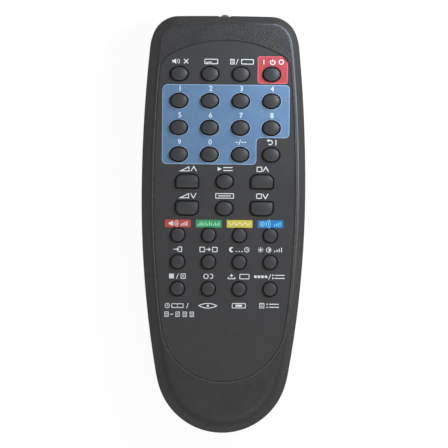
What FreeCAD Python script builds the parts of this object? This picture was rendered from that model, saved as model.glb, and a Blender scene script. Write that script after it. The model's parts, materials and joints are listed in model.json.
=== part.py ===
import FreeCAD, Part
import os
from math import cos, pi, sin, sqrt
from FreeCAD import Vector

os.makedirs("parts", exist_ok=True)

# A hand-held remote control lying on its back, in millimetres.
# X runs across it, +Y points to the end with the infrared diode, +Z points up out of the keys.
# The origin is on the table, under the middle of the whole length and width.

# Case outline, seen from above
body_length = 165.5
body_width = 65.1
widest_from_front = 70.0
shoulder_from_front = 12.5
shoulder_draw_in = 2.9
shoulder_radius = 20.0
corner_radius = 10.8
front_edge_radius = 900.0
heel_draw_in = 6.3
heel_radius = 40.0
tail_flattening = 2.75

# Case walls and edges
parting_height = 12.0
case_wall = 1.8
roof_thickness = 2.0
upper_lean = 3.2
lower_lean = 1.6
rim_rounding = 1.0
tail_rounding = 5.0
rounding_growth_from_tail = 45.0
back_rounding = 4.0
seam_chamfer = 0.25
lip_height = 0.9
lip_thickness = 0.8
lip_clearance = 0.15
flat_back_from_front = 62.0
front_rise = 3.5

# Sunk panel and the printed film glued into it
panel_from_front = 9.6
panel_from_tail = 20.2
panel_inset = 4.3
panel_front_radius = 45.0
panel_corner_radius = 8.0
panel_depth = 0.7
film_thickness = 0.3
film_clearance = 0.15

# Key grid
row_count = 9
first_row_from_front = 23.3
row_pitch = 10.62
column_pitch = 12.2
wide_key_offset = 14.8

# Key shapes
oval_width = 6.7
oval_height = 5.5
oval_end_radius = 2.45
round_diameter = 5.4
wide_width = 8.8
wide_height = 5.3
wide_round_corner = 2.4
wide_square_corner = 0.8
key_proud = 1.8
key_edge_rounding = 0.6
key_dome_rise = 0.4

# Key fit and travel
key_travel = 1.0
key_clearance = 0.45
collar_width = 0.6
collar_thickness = 0.8
collar_roof_gap = 0.3
collar_web_gap = 0.3
stem_radius = 2.3
pill_radius = 2.0
pill_thickness = 0.5
pill_end_gap = 0.05

# Rubber mat with a domed web round each key stem
mat_thickness = 1.0
mat_board_margin = 1.0
mat_from_front = 14.0
web_height = 1.2
web_thickness = 0.6
web_clearance = 0.2
web_foot_radius = 4.1

# Circuit board
board_thickness = 1.6
board_from_front = 6.0
board_past_last_row = 9.3
board_inset = 4.4
pad_radius = 2.6
pad_thickness = 0.1
pad_split = 0.5

# Board screws, into bosses under the roof
front_screw_row = 0.5
rear_screw_row = 6.5
board_boss_radius = 2.2
board_screw_radius = 1.0
board_screw_length = 3.4
board_head_radius = 2.1
board_head_clearance = 0.1
boss_clearance = 0.4
screw_clearance = 0.25
pilot_clearance = 0.05

# Case screws, from the back into long bosses
case_boss_radius = 2.6
case_screw_radius = 1.2
case_screw_bite = 6.5
case_head_radius = 2.6
case_head_height = 1.8
case_seat_height = 6.5
counterbore_clearance = 0.3
counterbore_wall = 1.2
tail_screw_offset = 20.0
tail_screw_board_gap = 3.4
recess_width = 0.7
recess_depth = 0.5
recess_reach = 0.6

# Batteries and their bay
battery_diameter = 10.5
battery_length = 44.5
battery_nub_diameter = 3.8
battery_nub_length = 0.8
battery_edge_rounding = 0.4
battery_side_gap = 1.5
battery_cover_gap = 0.65
battery_bay_gap = 0.3
bay_wall = 1.2
board_bay_gap = 0.85
bay_from_tail = 10.2
divider_width = 1.2
divider_height = 3.75

# Battery contacts
contact_thickness = 0.4
contact_width = 8.0
contact_height = 7.5
contact_slack = 0.1
contact_tab_width = 2.0
contact_slot_clearance = 0.2
spring_wire_radius = 0.3
spring_foot_radius = 3.4
spring_tip_radius = 2.2
spring_length = 5.1
spring_turns = 4

# Sliding battery cover
cover_side_overlap = 2.95
cover_bay_overlap = 3.0
cover_clearance = 0.25
cover_slide_gap = 0.15
tongue_width = 1.1
tongue_thickness = 0.8
tongue_from_tail = 19.0
ledge_width = 1.15
ledge_thickness = 1.05
latch_width = 5.0
latch_reach = 2.45
latch_thickness = 0.9
grip_groove_count = 6
grip_groove_pitch = 2.0
grip_groove_length = 17.0
grip_groove_width = 1.0
grip_groove_depth = 0.5
grip_from_cover_front = 5.0
arrow_width = 8.0
arrow_length = 5.0
arrow_gap = 3.5

# Infrared diode
led_board_gap = 0.4
led_proud = 0.5
led_radius = 2.5
led_body_length = 5.6
led_flange_radius = 2.9
led_flange_thickness = 1.0
led_hole_clearance = 0.15
led_lead_spacing = 2.54
led_lead_run = 2.4
led_lead_bend = 0.8
lead_radius = 0.25
lead_hole_clearance = 0.1
lead_depth_in_board = 1.4

# Small parts under the board
chip_length = 12.8
chip_width = 7.5
chip_height = 2.3
chip_standoff = 0.15
chip_pins_per_side = 10
chip_pin_pitch = 1.27
chip_pin_width = 0.42
chip_pin_thickness = 0.25
chip_pin_reach = 1.4
chip_from_front = 58.0
chip_chamfer = 0.2
resonator_width = 7.0
resonator_length = 3.0
resonator_height = 5.0
resonator_rounding = 0.6
resonator_place = (15.0, 50.0)
electrolytic_radius = 3.15
electrolytic_length = 11.0
can_rounding = 0.5
electrolytic_place = (-16.0, 46.0)
transistor_radius = 2.3
transistor_height = 4.5
transistor_flat = 1.3
transistor_place = (9.0, 19.0)
resistor_radius = 0.9
resistor_length = 6.0
resistor_span = 10.0
resistor_rounding = 0.4
resistor_bend = 0.7
resistor_places = [(-14.0, 17.0), (14.0, 66.0), (-14.0, 66.0)]
disc_radius = 2.3
disc_thickness = 1.6
disc_places = [(16.0, 38.0), (-14.0, 58.0)]
link_span = 7.6
link_standoff = 0.7
link_bend = 0.6
link_places = [(-4.0, 74.0), (9.0, 78.0), (-10.0, 80.0), (3.0, 81.0), (4.0, 40.0)]
leg_spacing = 5.0
leg_standoff = 1.2
leg_bend = 0.3
lying_standoff = 0.2

# Levels, worked out from the back up: cover, cells, bay, board, mat and keys, then the roof over them
battery_level = case_wall + battery_cover_gap + battery_diameter / 2
bay_ceiling = battery_level + battery_diameter / 2 + battery_bay_gap
board_bottom = bay_ceiling + bay_wall + board_bay_gap
board_top = board_bottom + board_thickness
mat_top = board_top + mat_thickness
web_top = mat_top + web_height
collar_bottom = web_top + collar_web_gap + key_travel
collar_top = collar_bottom + collar_thickness
roof_level = collar_top + collar_roof_gap
case_height = roof_level + roof_thickness
film_level = case_height - panel_depth + film_thickness
key_top = film_level + key_proud
pill_bottom = board_top + pad_thickness + key_travel + pill_end_gap
pill_top = pill_bottom + pill_thickness
led_level = board_bottom - led_board_gap - led_flange_radius

# Places along the length
front_y = (body_length - led_proud) / 2
tail_y = front_y - body_length
bay_tail_y = tail_y + bay_from_tail
bay_length = battery_length + spring_length + 2 * contact_thickness + contact_slack
bay_front_y = bay_tail_y + bay_length
cover_front_y = bay_front_y + cover_bay_overlap

# Places across the width
battery_pitch = battery_diameter + battery_side_gap
bay_half_width = battery_pitch / 2 + battery_diameter / 2 + battery_bay_gap
cover_half_width = bay_half_width + cover_side_overlap

# Longer than the part, for tools that cut right through it
far = body_length


def row_y(row):
    """Y of a key row, counted from 0 at the front; a half row lies between two rows."""
    return front_y - first_row_from_front - row * row_pitch


def column_x(column):
    """X of one of the four key columns, counted from 0 at the left."""
    return (column - 1.5) * column_pitch


board_end_y = row_y(row_count - 1) - board_past_last_row

# Board screws between the key rows, with flat heads that pass over the bay
board_head_height = board_bay_gap - board_head_clearance
board_screw_rows = (front_screw_row, rear_screw_row)
board_screw_places = [(side * column_pitch, row_y(row)) for row in board_screw_rows for side in (-1, 1)]

# Case screws: one near the front on the centre line, two past the end of the board
front_screw_place = (0.0, row_y(front_screw_row))
tail_screw_y = board_end_y - tail_screw_board_gap - case_boss_radius
tail_screw_places = [(side * tail_screw_offset, tail_screw_y) for side in (-1, 1)]
case_screw_places = [front_screw_place] + tail_screw_places


# Keys: name, shape, x, y, from the front row to the last one
four_key_rows = {
    0: ("oval", ["key_mute", "key_display", "key_text", "key_power"]),
    1: ("oval", ["key_1", "key_2", "key_3", "key_4"]),
    2: ("oval", ["key_5", "key_6", "key_7", "key_8"]),
    3: ("oval", ["key_9", "key_0", "key_digits", "key_recall"]),
    6: ("round", ["key_red", "key_green", "key_yellow", "key_blue"]),
    7: ("round", ["key_input", "key_copy", "key_sleep", "key_picture"]),
    8: ("round", ["key_stop", "key_mix", "key_store", "key_list"]),
}
three_key_rows = {
    4: ("wide_up", ["key_volume_up", "key_item", "key_program_up"]),
    5: ("wide_down", ["key_volume_down", "key_menu", "key_program_down"]),
}


def key_table():
    keys = []
    for row, (shape, names) in four_key_rows.items():
        keys += [(name, shape, column_x(column), row_y(row)) for column, name in enumerate(names)]
    for row, (wide_shape, names) in three_key_rows.items():
        shapes = [wide_shape, "oval", wide_shape]
        places = [-wide_key_offset, 0.0, wide_key_offset]
        keys += [(name, shape, x, row_y(row)) for name, shape, x in zip(names, shapes, places)]
    return keys


# Small helpers

def box(low_x, high_x, low_y, high_y, low_z, high_z):
    size = (high_x - low_x, high_y - low_y, high_z - low_z)
    return Part.makeBox(*size, Vector(low_x, low_y, low_z))


def post(radius, x, y, low_z, high_z):
    return Part.makeCylinder(radius, high_z - low_z, Vector(x, y, low_z))


def join(shapes):
    first, *others = shapes
    return first.multiFuse(others).removeSplitter() if others else first


def carve(shape, tools):
    return shape.cut(Part.makeCompound(tools))


def write(node, shapes):
    solids = [solid for shape in shapes for solid in shape.Solids]
    bad = [solid for solid in solids if not solid.isValid()]
    Part.makeCompound(solids).exportStep(f"parts/{node}.step")
    print(f"{node}: {len(solids)} solids, {sum(s.Volume for s in solids):.1f} mm3, {len(bad)} invalid")


# Outlines that mirror about the centre line, as chains of tangent arcs down their right side

def circles_meet(first, first_radius, second, second_radius):
    """Where two circles cross, on the side of the front right corner."""
    gap = second - first
    along = (first_radius ** 2 - second_radius ** 2 + gap.Length ** 2) / (2 * gap.Length)
    aside = sqrt(first_radius ** 2 - along ** 2)
    direction = Vector(gap).normalize()
    foot = first + direction * along
    offset = Vector(-direction.y, direction.x) * aside
    return max(foot + offset, foot - offset, key=lambda point: point.x + point.y)


def end_circle(side_centre, side_radius, end_y):
    """The circle on the centre line that ends at end_y and touches the side circle from inside."""
    reach = side_centre.y - end_y
    radius = (side_radius ** 2 - side_centre.x ** 2 - reach ** 2) / (2 * (side_radius - reach))
    return Vector(0, end_y + radius), radius


def arc_through(draw_in, reach):
    """Radius of a side arc that draws in by draw_in over a length of reach from the widest place."""
    return (draw_in ** 2 + reach ** 2) / (2 * draw_in)


half_width = body_width / 2
heel_half_width = half_width - heel_draw_in
heel_from_tail = heel_half_width - tail_flattening
widest_y = front_y - widest_from_front
side_radius = arc_through(shoulder_draw_in, widest_from_front - shoulder_from_front)
side_centre = Vector(half_width - side_radius, widest_y)
flank_radius = arc_through(heel_draw_in, widest_y - tail_y - heel_from_tail)
flank_centre = Vector(half_width - flank_radius, widest_y)


def case_chain():
    """Arcs of the case outline as centre, radius, first and last outward direction."""
    shoulder = Vector(half_width - shoulder_draw_in, front_y - shoulder_from_front)
    side_out = (shoulder - side_centre).normalize()
    shoulder_centre = shoulder - side_out * shoulder_radius
    front_centre = Vector(0, front_y - front_edge_radius)
    corner_centre = circles_meet(
        shoulder_centre, shoulder_radius - corner_radius, front_centre, front_edge_radius - corner_radius
    )
    front_out = (corner_centre - front_centre).normalize()
    corner_out = (corner_centre - shoulder_centre).normalize()
    heel = Vector(heel_half_width, tail_y + heel_from_tail)
    flank_out = (heel - flank_centre).normalize()
    heel_centre = heel - flank_out * heel_radius
    tail_centre, tail_radius = end_circle(heel_centre, heel_radius, tail_y)
    heel_out = (tail_centre - heel_centre).normalize()
    growth_drop = (tail_y + rounding_growth_from_tail - widest_y) / flank_radius
    growth_out = Vector(sqrt(1 - growth_drop ** 2), growth_drop)
    return [
        (front_centre, front_edge_radius, Vector(0, 1), front_out),
        (corner_centre, corner_radius, front_out, corner_out),
        (shoulder_centre, shoulder_radius, corner_out, side_out),
        (side_centre, side_radius, side_out, Vector(1, 0)),
        (flank_centre, flank_radius, Vector(1, 0), growth_out),
        (flank_centre, flank_radius, growth_out, flank_out),
        (heel_centre, heel_radius, flank_out, heel_out),
        (tail_centre, tail_radius, heel_out, Vector(0, -1)),
    ]


def panel_chain():
    """Arcs of the panel outline: its sides keep a steady distance from the case outline."""
    panel_front_y = front_y - panel_from_front
    panel_tail_y = tail_y + panel_from_tail
    front_centre = Vector(0, panel_front_y - panel_front_radius)
    inner_side = side_radius - panel_inset
    inner_flank = flank_radius - panel_inset
    corner_centre = circles_meet(
        side_centre, inner_side - panel_corner_radius, front_centre, panel_front_radius - panel_corner_radius
    )
    front_out = (corner_centre - front_centre).normalize()
    side_out = (corner_centre - side_centre).normalize()
    tail_centre, tail_radius = end_circle(flank_centre, inner_flank, panel_tail_y)
    flank_out = (tail_centre - flank_centre).normalize()
    return [
        (front_centre, panel_front_radius, Vector(0, 1), front_out),
        (corner_centre, panel_corner_radius, front_out, side_out),
        (side_centre, inner_side, side_out, Vector(1, 0)),
        (flank_centre, inner_flank, Vector(1, 0), flank_out),
        (tail_centre, tail_radius, flank_out, Vector(0, -1)),
    ]


def mirrored_outline(chain, inset, level):
    """Closed wire at a level: the chain drawn in by inset, with its mirror image on the left."""
    spans = []
    for centre, radius, first_out, last_out in chain:
        middle_out = (first_out + last_out).normalize()
        spans.append([centre + out * (radius - inset) for out in (first_out, middle_out, last_out)])

    def mirror(point):
        return Vector(-point.x, point.y)

    front = [mirror(spans[0][2]), spans[0][0], spans[0][2]]
    tail = [spans[-1][0], spans[-1][2], mirror(spans[-1][0])]
    right = spans[1:-1]
    left = [[mirror(point) for point in reversed(span)] for span in reversed(right)]
    lift = Vector(0, 0, level)
    return Part.Wire([
        Part.Arc(*[point + lift for point in span]).toShape() for span in [front, *right, tail, *left]
    ])


case_outline = case_chain()
panel_outline = panel_chain()


def slab(chain, inset, low_z, high_z):
    """Upright prism of a mirrored outline."""
    face = Part.Face(mirrored_outline(chain, inset, low_z))
    return face.extrude(Vector(0, 0, high_z - low_z))


# Case forms

def rim_radius_at(y, drawn_in):
    """Rounding of the upper rim, which grows steadily from the flank to the tail's own arc."""
    tail_centre, tail_radius, tail_out, _ = case_outline[-1]
    start_y = tail_y + rounding_growth_from_tail
    end_y = tail_centre.y + tail_out.y * tail_radius
    share = min(max((start_y - y) / (start_y - end_y), 0), 1)
    radius = rim_rounding + (tail_rounding - rim_rounding) * share
    return max(radius - drawn_in, rim_rounding / 2)


def upper_form(inset, top):
    """Upper half, leaning in to a flat top, with a small rim rounding that grows round the tail."""
    lean = upper_lean * (top - parting_height) / (case_height - parting_height)
    foot = mirrored_outline(case_outline, inset, parting_height)
    head = mirrored_outline(case_outline, inset + lean, top)
    form = Part.makeLoft([foot, head], True, True)
    edges = []
    for number, edge in enumerate(form.Edges, 1):
        if edge.BoundBox.ZMin > top - 1e-3:
            ends = [edge.valueAt(edge.FirstParameter), edge.valueAt(edge.LastParameter)]
            edges.append((number, *[rim_radius_at(end.y, inset) for end in ends]))
    document = FreeCAD.newDocument("rounding")
    base = document.addObject("Part::Feature", "form")
    base.Shape = form
    rounding = document.addObject("Part::Fillet", "rounded")
    rounding.Base = base
    rounding.Edges = edges
    document.recompute()
    rounded = rounding.Shape.copy()
    FreeCAD.closeDocument(document.Name)
    return rounded.Solids[0]


def under_rise(floor):
    """What lies under the back: a flat floor that turns up in one large arc towards the front."""
    start_y = front_y - flat_back_from_front
    rise_radius = (flat_back_from_front ** 2 + front_rise ** 2) / (2 * front_rise)
    radius = rise_radius - floor

    def on_arc(y):
        return Vector(-body_width, y, rise_radius - sqrt(radius ** 2 - (y - start_y) ** 2))

    start = on_arc(start_y)
    end = on_arc(front_y + case_wall)
    below_end = Vector(end.x, end.y, -case_wall)
    below_start = Vector(start.x, start.y, -case_wall)
    profile = Part.Wire([
        Part.Arc(start, on_arc((start.y + end.y) / 2), end).toShape(),
        Part.makeLine(end, below_end),
        Part.makeLine(below_end, below_start),
        Part.makeLine(below_start, start),
    ])
    return Part.Face(profile).extrude(Vector(2 * body_width, 0, 0))


def lower_form(inset, floor, rounding):
    """Lower half, drawn in a little towards the back, with rounded back edges."""
    lean = lower_lean * (parting_height - floor) / parting_height
    foot = mirrored_outline(case_outline, inset + lean, floor)
    head = mirrored_outline(case_outline, inset, parting_height)
    form = Part.makeLoft([foot, head], True, True).cut(under_rise(floor))
    back_edges = []
    for edge in form.Edges:
        place = edge.BoundBox
        crosses = place.YLength < 0.5 and place.XLength > body_width / 2 and place.YMax < front_y / 2
        if place.ZMax < floor + front_rise + rounding / 2 and not crosses:
            back_edges.append(edge)
    return form.makeFillet(rounding, back_edges)


def seam_edges(shape):
    """Outer edges of a case half at the parting level."""
    return [
        edge for edge in shape.Edges
        if abs(edge.BoundBox.ZMin - parting_height) < 1e-3 and edge.BoundBox.ZLength < 1e-3
    ]


# Key outlines

def arc_between(centre, radius, first_angle, last_angle):
    """Arc in the XY plane, angles in radians."""
    angles = [first_angle, (first_angle + last_angle) / 2, last_angle]
    return Part.Arc(*[centre + Vector(cos(a), sin(a)) * radius for a in angles]).toShape()


def oval_wire(grow):
    """Oval of four tangent arcs, grown all round."""
    half_long = oval_width / 2 + grow
    half_short = oval_height / 2 + grow
    end = oval_end_radius + grow
    offset = half_long - end
    long_radius = (offset ** 2 + half_short ** 2 - end ** 2) / (2 * (half_short - end))
    rise = long_radius - half_short
    join_out = Vector(offset, rise).normalize()
    right, left = Vector(offset, 0), Vector(-offset, 0)
    low, high = Vector(0, -rise), Vector(0, rise)
    up_right = right + join_out * end
    up_left = Vector(-up_right.x, up_right.y)
    down_left = -up_right
    down_right = -up_left
    return Part.Wire([
        Part.Arc(up_right, low + Vector(0, long_radius), up_left).toShape(),
        Part.Arc(up_left, left - Vector(end, 0), down_left).toShape(),
        Part.Arc(down_left, high - Vector(0, long_radius), down_right).toShape(),
        Part.Arc(down_right, right + Vector(end, 0), up_right).toShape(),
    ])


def wide_wire(grow, up):
    """Wide key: two large corners on the side that faces away from its partner, two small ones."""
    half_long = wide_width / 2 + grow
    half_short = wide_height / 2 + grow
    large = wide_round_corner + grow
    small = wide_square_corner + grow
    corners = [
        (Vector(half_long - large, half_short - large), large, 0),
        (Vector(large - half_long, half_short - large), large, pi / 2),
        (Vector(small - half_long, small - half_short), small, pi),
        (Vector(half_long - small, small - half_short), small, 3 * pi / 2),
    ]
    arcs = [arc_between(centre, radius, start, start + pi / 2) for centre, radius, start in corners]
    edges = []
    for arc, following in zip(arcs, arcs[1:] + arcs[:1]):
        last = arc.valueAt(arc.LastParameter)
        first = following.valueAt(following.FirstParameter)
        edges += [arc, Part.makeLine(last, first)]
    wire = Part.Wire(edges)
    if not up:
        wire.rotate(Vector(0, 0, 0), Vector(0, 0, 1), 180)
    return wire


def round_wire(grow):
    return Part.Wire([Part.makeCircle(round_diameter / 2 + grow)])


key_wires = {
    "oval": oval_wire,
    "round": round_wire,
    "wide_up": lambda grow: wide_wire(grow, True),
    "wide_down": lambda grow: wide_wire(grow, False),
}


def key_prism(shape, grow, x, y, low_z, high_z):
    wire = key_wires[shape](grow)
    wire.translate(Vector(x, y, low_z))
    return Part.Face(wire).extrude(Vector(0, 0, high_z - low_z))


def build_key(shape, x, y):
    """One key: its head through the case, the collar under the roof, its stem and the carbon pill."""
    head = key_prism(shape, 0, x, y, collar_bottom, key_top)
    dome_half = head.BoundBox.YLength / 2
    dome_radius = (dome_half ** 2 + key_dome_rise ** 2) / (2 * key_dome_rise)
    dome = Part.makeSphere(dome_radius, Vector(0, 0, key_top - dome_radius))
    if shape.startswith("wide"):
        widen = FreeCAD.Matrix()
        widen.scale(head.BoundBox.XLength / head.BoundBox.YLength, 1, 1)
        dome = dome.transformGeometry(widen)
    dome.translate(Vector(x, y, 0))
    head = head.common(dome)
    top_edges = [edge for edge in head.Edges if edge.BoundBox.ZMin > collar_top]
    head = head.makeFillet(key_edge_rounding, top_edges)
    collar = key_prism(shape, collar_width, x, y, collar_bottom, collar_top)
    stem = post(stem_radius, x, y, pill_top, collar_bottom)
    return [join([head, collar, stem]), post(pill_radius, x, y, pill_bottom, pill_top)]


# Upper case

def build_upper_case(keys):
    outside = upper_form(0, case_height)
    outside = outside.makeChamfer(seam_chamfer, seam_edges(outside))
    inside = upper_form(case_wall, roof_level)
    lip_step = case_wall - lip_thickness - lip_clearance
    lip_room = slab(case_outline, lip_step, parting_height - 1, parting_height + lip_height + lip_clearance)
    shell = outside.cut(inside).cut(lip_room)
    bosses = [post(board_boss_radius, x, y, board_top, roof_level) for x, y in board_screw_places]
    bosses += [post(case_boss_radius, x, y, parting_height, roof_level) for x, y in case_screw_places]
    shell = join([shell] + bosses)
    tools = [slab(panel_outline, 0, case_height - panel_depth, case_height + 1)]
    tools += [key_prism(shape, key_clearance, x, y, roof_level - 1, case_height) for _, shape, x, y in keys]
    board_pilot = board_screw_radius + pilot_clearance
    case_pilot = case_screw_radius + pilot_clearance
    board_pilot_top = board_top + board_screw_length + pilot_clearance
    case_pilot_top = parting_height + case_screw_bite + pilot_clearance
    tools += [post(board_pilot, x, y, board_top - 1, board_pilot_top) for x, y in board_screw_places]
    tools += [post(case_pilot, x, y, parting_height - 1, case_pilot_top) for x, y in case_screw_places]
    tools.append(led_passage())
    return carve(shell, tools)


def led_passage():
    """Round hole for the diode through both halves of the front wall."""
    start = Vector(0, front_y - 2 * case_wall, led_level)
    return Part.makeCylinder(led_radius + led_hole_clearance, 4 * case_wall, start, Vector(0, 1, 0))


# Lower case with its battery bay

def build_bay():
    """Tub for two cells side by side, open at the back, with ledges over the cover's edges."""
    outer = bay_half_width + bay_wall
    tub_front_y = bay_front_y + bay_wall
    tub = box(-outer, outer, bay_tail_y - bay_wall, tub_front_y, case_wall / 2, bay_ceiling + bay_wall)
    ledge_half = cover_half_width + tongue_width + cover_clearance + ledge_width
    ledge_top = case_wall + cover_slide_gap + ledge_thickness
    tongue_end_y = tail_y + tongue_from_tail
    ledges = box(-ledge_half, ledge_half, tongue_end_y, tub_front_y, case_wall / 2, ledge_top)
    pocket = box(-bay_half_width, bay_half_width, bay_tail_y, bay_front_y, -1, bay_ceiling)
    divider = box(
        -divider_width / 2, divider_width / 2, bay_tail_y + 2 * contact_thickness, bay_front_y,
        bay_ceiling - divider_height, bay_ceiling + bay_wall / 2,
    )
    return join([tub, ledges]), pocket, divider


def cover_room():
    """Space cut from the lower case for the cover, its tongues and its latch."""
    half = cover_half_width + cover_clearance
    groove_half = cover_half_width + tongue_width + cover_clearance
    front = cover_front_y + cover_clearance
    slide_top = case_wall + cover_slide_gap
    groove_bottom = case_wall - tongue_thickness - cover_slide_gap
    latch_half = latch_width / 2 + cover_clearance
    latch_top = slide_top + latch_thickness + cover_clearance
    end_wall_y = bay_tail_y - bay_wall
    return [
        box(-half, half, -far, front, -1, slide_top),
        box(-groove_half, groove_half, -far, front, groove_bottom, slide_top),
        box(-half, half, -far, end_wall_y - cover_clearance, -1, parting_height + 2 * lip_height),
        box(-latch_half, latch_half, -far, bay_front_y + 2 * bay_wall, -1, latch_top),
    ]


def contact_slots():
    """Slots in the bay's ceiling for the tabs of the two front contacts."""
    half = contact_tab_width / 2 + contact_slot_clearance
    depth = contact_thickness + contact_slot_clearance
    top = bay_ceiling + 2 * bay_wall
    return [
        box(x - half, x + half, bay_front_y - depth, bay_front_y, bay_ceiling - 1, top)
        for x in (-battery_pitch / 2, battery_pitch / 2)
    ]


def build_lower_case():
    outside = lower_form(0, 0, back_rounding)
    outside = outside.makeChamfer(seam_chamfer, seam_edges(outside))
    inside = lower_form(case_wall, case_wall, back_rounding - case_wall)
    shell = outside.cut(inside)
    lip_low = parting_height - lip_height
    lip_high = parting_height + lip_height
    lip_outer = slab(case_outline, case_wall - lip_thickness, lip_low, lip_high)
    lip = lip_outer.cut(slab(case_outline, case_wall, lip_low - 1, lip_high + 1))
    tub, pocket, divider = build_bay()
    counterbore = case_head_radius + counterbore_clearance
    boss_radius = counterbore + counterbore_wall
    bosses = [post(boss_radius, x, y, 0, parting_height) for x, y in case_screw_places]
    bosses = [boss.common(outside) for boss in bosses]
    shell = join([shell, lip, tub] + bosses)
    tools = [pocket] + cover_room() + contact_slots()
    for x, y in case_screw_places:
        tools.append(post(counterbore, x, y, -1, case_seat_height))
        tools.append(post(case_screw_radius + screw_clearance, x, y, 0, parting_height + 1))
    tools.append(led_passage())
    shell = carve(shell, tools)
    return join([shell, divider])


# Battery cover

def build_cover():
    half = cover_half_width
    outside = lower_form(0, 0, back_rounding)
    inside = lower_form(case_wall, case_wall, back_rounding - case_wall)
    reach = box(-half, half, -far, cover_front_y, -1, parting_height - cover_clearance)
    end_room_y = bay_tail_y - bay_wall - cover_clearance
    above_plate = box(-far, far, end_room_y, far, case_wall, parting_height)
    plate = outside.common(reach).cut(inside).cut(above_plate)
    tongue_low = case_wall - tongue_thickness
    tongue_end_y = tail_y + tongue_from_tail
    tongue_half = half + tongue_width
    tongues = box(-tongue_half, tongue_half, tongue_end_y, cover_front_y, tongue_low, case_wall)
    latch_half = latch_width / 2
    latch_low = case_wall + cover_slide_gap
    latch_top = latch_low + latch_thickness
    latch_back_y = bay_front_y + bay_wall + cover_clearance
    latch_foot = box(-latch_half, latch_half, latch_back_y, cover_front_y, case_wall / 2, latch_top)
    latch = box(-latch_half, latch_half, latch_back_y, cover_front_y + latch_reach, latch_low, latch_top)
    cover = join([plate, tongues, latch_foot, latch])
    return carve(cover, [grip_groove(number) for number in range(grip_groove_count)] + [cover_arrow()])


def grip_groove(number):
    """Thumb groove across the cover, with rounded ends."""
    y = cover_front_y - grip_from_cover_front - number * grip_groove_pitch
    half = (grip_groove_length - grip_groove_width) / 2
    bar = box(-half, half, y - grip_groove_width / 2, y + grip_groove_width / 2, -1, grip_groove_depth)
    ends = [post(grip_groove_width / 2, side * half, y, -1, grip_groove_depth) for side in (-1, 1)]
    return join([bar] + ends)


def cover_arrow():
    """Sunk triangle that points the way the cover slides off."""
    base_y = cover_front_y - grip_from_cover_front - (grip_groove_count - 1) * grip_groove_pitch - arrow_gap
    corners = [(-arrow_width / 2, base_y), (arrow_width / 2, base_y), (0, base_y - arrow_length)]
    points = [Vector(x, y, -1) for x, y in corners]
    return Part.Face(Part.makePolygon(points + points[:1])).extrude(Vector(0, 0, 1 + grip_groove_depth))


# Film, mat and board

def build_film(keys):
    level = case_height - panel_depth
    film = slab(panel_outline, film_clearance, level, level + film_thickness)
    holes = [key_prism(shape, key_clearance, x, y, level - 1, level + 1) for _, shape, x, y in keys]
    return carve(film, holes)


def board_blank(inset, start_y, end_y, low_z, high_z):
    return slab(case_outline, inset, low_z, high_z).common(box(-far, far, end_y, start_y, low_z, high_z))


def build_mat(keys):
    """Rubber sheet on the board, with a thin cone that carries each key."""
    end_y = board_end_y + mat_board_margin
    sheet = board_blank(board_inset + mat_board_margin, front_y - mat_from_front, end_y, board_top, mat_top)
    hole = stem_radius + web_clearance
    foot_hole = web_foot_radius - web_thickness
    cones = [
        Part.makeCone(web_foot_radius, hole + web_thickness, web_height, Vector(x, y, mat_top))
        for _, _, x, y in keys
    ]
    tools = [Part.makeCone(foot_hole, hole, web_height, Vector(x, y, mat_top)) for _, _, x, y in keys]
    tools += [post(foot_hole, x, y, board_top, mat_top) for _, _, x, y in keys]
    boss_hole = board_boss_radius + boss_clearance
    tools += [post(boss_hole, x, y, board_top, mat_top) for x, y in board_screw_places]
    tools.append(post(case_boss_radius + boss_clearance, *front_screw_place, board_top, mat_top))
    return carve(join([sheet] + cones), tools)


def lead_feet():
    """X and Y of every wire end that stands in the board."""
    feet = [(side * led_lead_spacing / 2, led_lead_y()) for side in (-1, 1)]
    for x, y in [resonator_xy(), transistor_xy()] + [place_xy(place) for place in disc_places]:
        feet += [(x + side * leg_spacing / 2, y) for side in (-1, 1)]
    feet.append(transistor_xy())
    feet += [(electrolytic_xy()[0], electrolytic_foot_y() + side * leg_spacing / 2) for side in (-1, 1)]
    for place in resistor_places:
        x, y = place_xy(place)
        feet += [(x + side * resistor_span / 2, y) for side in (-1, 1)]
    for place in link_places:
        x, y = place_xy(place)
        feet += [(x, y + side * link_span / 2) for side in (-1, 1)]
    return feet


def build_board():
    start_y = front_y - board_from_front
    board = board_blank(board_inset, start_y, board_end_y, board_bottom, board_top)
    tools = [
        post(board_screw_radius + screw_clearance, x, y, board_bottom - 1, board_top + 1)
        for x, y in board_screw_places
    ]
    tools.append(post(case_boss_radius + boss_clearance, *front_screw_place, board_bottom - 1, board_top + 1))
    hole = lead_radius + lead_hole_clearance
    tools += [post(hole, x, y, board_bottom - 1, board_top + 1) for x, y in lead_feet()]
    return carve(board, tools)


def build_pads(keys):
    """Two carbon half discs on the board under each key."""
    pads = []
    for _, _, x, y in keys:
        disc = post(pad_radius, x, y, board_top, board_top + pad_thickness)
        slit = box(x - pad_split / 2, x + pad_split / 2, y - far, y + far, board_top - 1, board_top + 1)
        pads.append(disc.cut(slit))
    return pads


# Bent wires

def wire_along(points, bend, radius=lead_radius):
    """Round wire through points, with a tangent arc at each inner point."""
    edges = []
    start = points[0]
    for before, corner, after in zip(points, points[1:], points[2:]):
        back = (before - corner).normalize()
        ahead = (after - corner).normalize()
        inner = (back + ahead).normalize()
        first = corner + back * bend
        last = corner + ahead * bend
        middle = corner + inner * bend * (sqrt(2) - 1)
        edges += [Part.makeLine(start, first), Part.Arc(first, middle, last).toShape()]
        start = last
    edges.append(Part.makeLine(start, points[-1]))
    path = Part.Wire(edges)
    direction = (points[1] - points[0]).normalize()
    section = Part.Wire([Part.makeCircle(radius, points[0], direction)])
    return path.makePipeShell([section], True, False)


def place_xy(place):
    x, from_front = place
    return x, front_y - from_front


def resonator_xy():
    return place_xy(resonator_place)


def transistor_xy():
    return place_xy(transistor_place)


def electrolytic_xy():
    return place_xy(electrolytic_place)


def electrolytic_foot_y():
    return electrolytic_xy()[1] + electrolytic_length / 2 + leg_standoff + leg_spacing / 2


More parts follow.
